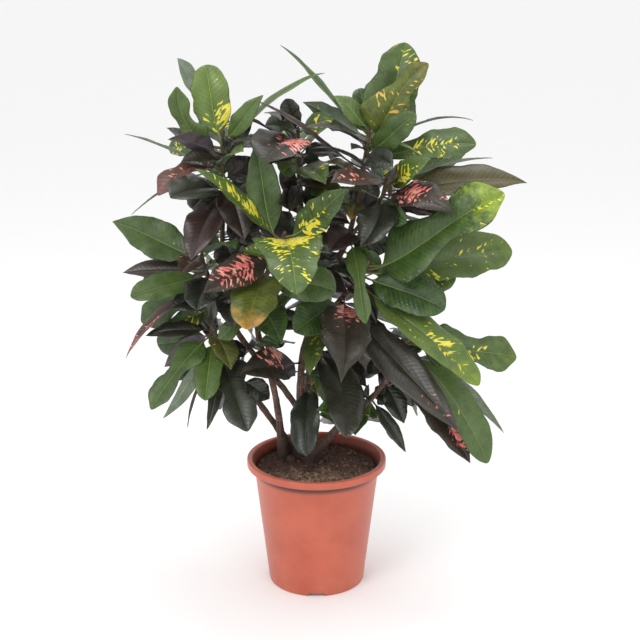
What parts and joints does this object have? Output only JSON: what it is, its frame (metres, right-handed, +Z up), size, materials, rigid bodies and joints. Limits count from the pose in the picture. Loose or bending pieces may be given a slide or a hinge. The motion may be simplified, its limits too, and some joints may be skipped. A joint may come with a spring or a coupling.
{
  "type": "potted croton",
  "caption": "Leafy croton with variegated leathery leaves on woody stems, planted in soil in a round tapered nursery pot.",
  "frame": {"origin": "on the pot's axis at the level of the floor the pot stands on, which is also the bottom centre of the plant's bounding box", "axes": "+Z up along the pot's axis; -Y towards the side the plant is seen from; +X to the right as seen from there"},
  "size_m": [0.675, 0.5, 0.921],
  "materials": {
    "pot_plastic": "moulded terracotta-coloured plastic with a soft satin sheen",
    "potting_soil": "crumbly peat and bark potting mix",
    "stem_bark": "thin brown bark with leaf scars and fine ridges",
    "leaf_green": "thick glossy green leaf with sunk veins and a paler matt underside",
    "leaf_blotched_yellow": "glossy green leaf with yellow blotches along the veins",
    "leaf_dark": "glossy near-black green to maroon leaf with a purplish grey underside",
    "leaf_blotched_pink": "glossy dark leaf with coral pink blotches",
    "leaf_olive": "olive leaf with orange and yellow along the midrib"
  },
  "bodies": {
    "root": {"pot": "pot_plastic", "soil": "potting_soil", "stem_centre": "stem_bark", "stem_front_left": "stem_bark", "stem_low_left": "stem_bark", "stem_right": "stem_bark", "stem_low_right": "stem_bark", "stem_cut_stub": "stem_bark", "leaf_top_left_1": "leaf_blotched_yellow", "leaf_top_left_2": "leaf_green", "leaf_top_left_3": "leaf_dark", "leaf_top_left_4": "leaf_green", "leaf_top_left_5": "leaf_blotched_pink", "leaf_top_left_6": "leaf_dark", "leaf_top_left_7": "leaf_green", "leaf_top_right_1": "leaf_blotched_yellow", "leaf_top_right_2": "leaf_olive", "leaf_top_right_3": "leaf_green", "leaf_top_right_4": "leaf_green", "leaf_top_right_5": "leaf_blotched_yellow", "leaf_top_right_6": "leaf_dark", "leaf_top_right_7": "leaf_dark", "leaf_top_middle_1": "leaf_blotched_pink", "leaf_upper_right_1": "leaf_blotched_yellow", "leaf_upper_right_2": "leaf_olive", "leaf_upper_right_3": "leaf_blotched_pink", "leaf_upper_right_4": "leaf_dark", "leaf_upper_right_5": "leaf_green", "leaf_right_1": "leaf_blotched_yellow", "leaf_right_2": "leaf_blotched_yellow", "leaf_right_3": "leaf_green", "leaf_right_4": "leaf_blotched_yellow", "leaf_right_5": "leaf_dark", "leaf_right_6": "leaf_blotched_yellow", "leaf_right_7": "leaf_green", "leaf_right_8": "leaf_blotched_pink", "leaf_front_1": "leaf_blotched_yellow", "leaf_front_2": "leaf_olive", "leaf_front_3": "leaf_blotched_pink", "leaf_front_4": "leaf_blotched_yellow", "leaf_front_5": "leaf_green", "leaf_front_6": "leaf_blotched_yellow", "leaf_front_7": "leaf_blotched_pink", "leaf_front_8": "leaf_dark", "leaf_front_9": "leaf_blotched_pink", "leaf_left_1": "leaf_green", "leaf_left_2": "leaf_dark", "leaf_left_3": "leaf_green", "leaf_left_4": "leaf_dark", "leaf_left_5": "leaf_blotched_pink", "leaf_left_6": "leaf_green", "leaf_left_7": "leaf_blotched_yellow", "leaf_left_8": "leaf_dark", "leaf_back_1": "leaf_blotched_yellow", "leaf_back_2": "leaf_dark", "leaf_back_3": "leaf_green", "leaf_back_4": "leaf_blotched_pink", "leaf_back_5": "leaf_blotched_yellow", "leaf_back_6": "leaf_green", "leaf_back_7": "leaf_dark"}
  },
  "joints": []
}
